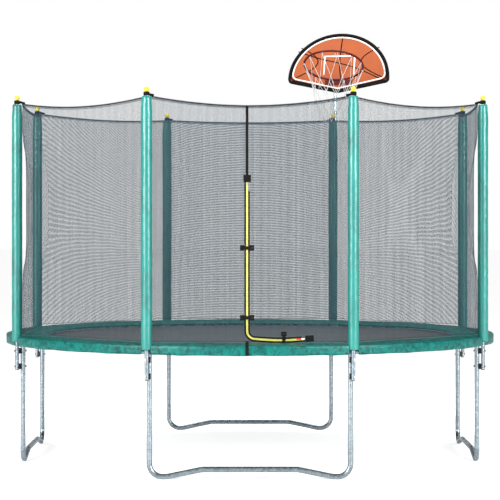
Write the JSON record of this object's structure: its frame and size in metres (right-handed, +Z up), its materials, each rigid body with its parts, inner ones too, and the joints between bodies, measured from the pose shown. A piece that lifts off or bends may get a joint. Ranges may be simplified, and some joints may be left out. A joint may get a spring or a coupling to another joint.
{
  "type": "backyard trampoline",
  "caption": "Round backyard trampoline: sprung mat on a tubular ring with W-shaped leg bases, padded edge, zipped safety net on sleeved poles, and a small basketball hoop.",
  "frame": {"origin": "the ground under the centre of the round frame", "axes": "+Z up, the door faces -Y, the hoop stands on the rear right pole at +X +Y"},
  "size_m": [3.7316, 3.7351, 3.3879],
  "materials": {
    "galvanised_tube": "hot-dip galvanised, satin",
    "pole_tube": "galvanised, satin",
    "zinc_hardware": "zinc plated",
    "spring_steel": "galvanised spring wire",
    "black_plastic": "moulded, satin",
    "yellow_plastic": "moulded, glossy",
    "teal_vinyl": "glossy PVC-coated cloth",
    "mat_fabric": "woven polypropylene",
    "black_webbing": "woven webbing",
    "net_mesh": "knitted polyethylene mesh",
    "zip_tape": "zip tape with pale coil",
    "zip_metal": "die cast",
    "pull_ribbon": "woven ribbon",
    "orange_board": "printed board, satin",
    "red_enamel": "enamelled",
    "black_bracket": "powder coated",
    "white_cord": "braided cord"
  },
  "bodies": {
    "frame": {"rail_segment_1": "galvanised_tube", "rail_segment_2": "galvanised_tube", "rail_segment_3": "galvanised_tube", "rail_segment_4": "galvanised_tube", "rail_segment_5": "galvanised_tube", "rail_segment_6": "galvanised_tube", "rail_segment_7": "galvanised_tube", "rail_segment_8": "galvanised_tube", "rail_tee_joints": "galvanised_tube", "leg_extensions": "galvanised_tube", "leg_base_front": "galvanised_tube", "leg_base_left": "galvanised_tube", "leg_base_rear": "galvanised_tube", "leg_base_right": "galvanised_tube", "hoop_mast": "galvanised_tube", "net_pole_1": "pole_tube", "net_pole_2": "pole_tube", "net_pole_3": "pole_tube", "net_pole_4": "pole_tube", "net_pole_5": "pole_tube", "net_pole_6": "pole_tube", "net_pole_7": "pole_tube", "net_pole_8": "pole_tube", "frame_screws": "zinc_hardware", "pole_bolts": "zinc_hardware", "pole_nuts": "zinc_hardware", "hoop_bolts": "zinc_hardware", "springs": "spring_steel", "pole_saddles": "black_plastic", "pole_end_plugs": "black_plastic", "pole_cap_collars": "black_plastic", "board_edge_trim": "black_plastic", "pole_cap_balls": "yellow_plastic", "pole_foam_sleeves": "teal_vinyl", "safety_pad": "teal_vinyl", "pad_ties": "black_webbing", "net_corner_loops": "black_webbing", "net_seam": "black_webbing", "net_tail_strap": "black_webbing", "net_top_cord": "black_webbing", "latch_bases": "black_webbing", "net_panels": "net_mesh", "net_door_panel": "net_mesh", "zip_tape_fixed": "zip_tape", "backboard": "orange_board", "hoop_rim": "red_enamel", "hoop_clamps": "black_bracket", "board_brackets": "black_bracket", "hoop_net": "white_cord"},
    "bed": {"jump_mat": "mat_fabric", "mat_edge_webbing": "black_webbing", "mat_v_rings": "spring_steel"},
    "door": {"door_flap": "net_mesh", "zip_tape_flap": "zip_tape", "latch_studs": "black_webbing"},
    "latch_1": {"latch_tongue_1": "black_webbing"},
    "latch_2": {"latch_tongue_2": "black_webbing"},
    "latch_3": {"latch_tongue_3": "black_webbing"},
    "slider": {"zip_slider": "zip_metal"},
    "pull": {"zip_pull": "pull_ribbon"}
  },
  "joints": [
    {"name": "bed_bounce", "type": "slide", "parent": "frame", "child": "bed", "axis": [0, 0, 1], "range_m": [-0.2, 0], "stiffness_N_per_m": 6000, "springref_m": 0.04, "deforming": ["springs"]},
    {"name": "door_fold", "type": "hinge", "parent": "frame", "child": "door", "pos_m": [-0.02, -1.67673, 2.05], "axis": [0.3459, 0, -0.9383], "range_deg": [0, 110]},
    {"name": "latch_1_peel", "type": "hinge", "parent": "frame", "child": "latch_1", "pos_m": [-0.04, -1.68753, 1.594], "axis": [0, 0, -1], "range_deg": [0, 120]},
    {"name": "latch_2_peel", "type": "hinge", "parent": "frame", "child": "latch_2", "pos_m": [-0.04, -1.68753, 1.114], "axis": [0, 0, -1], "range_deg": [0, 120]},
    {"name": "latch_3_peel", "type": "hinge", "parent": "frame", "child": "latch_3", "pos_m": [0.233, -1.68753, 0.958], "axis": [1, 0, 0], "range_deg": [0, 90]},
    {"name": "zip_slide", "type": "slide", "parent": "frame", "child": "slider", "axis": [1, 0, 0], "range_m": [-0.32, 0]},
    {"name": "pull_swing", "type": "hinge", "parent": "slider", "child": "pull", "pos_m": [0.376, -1.68373, 0.968], "axis": [0, 0, 1], "range_deg": [0, 160]}
  ]
}
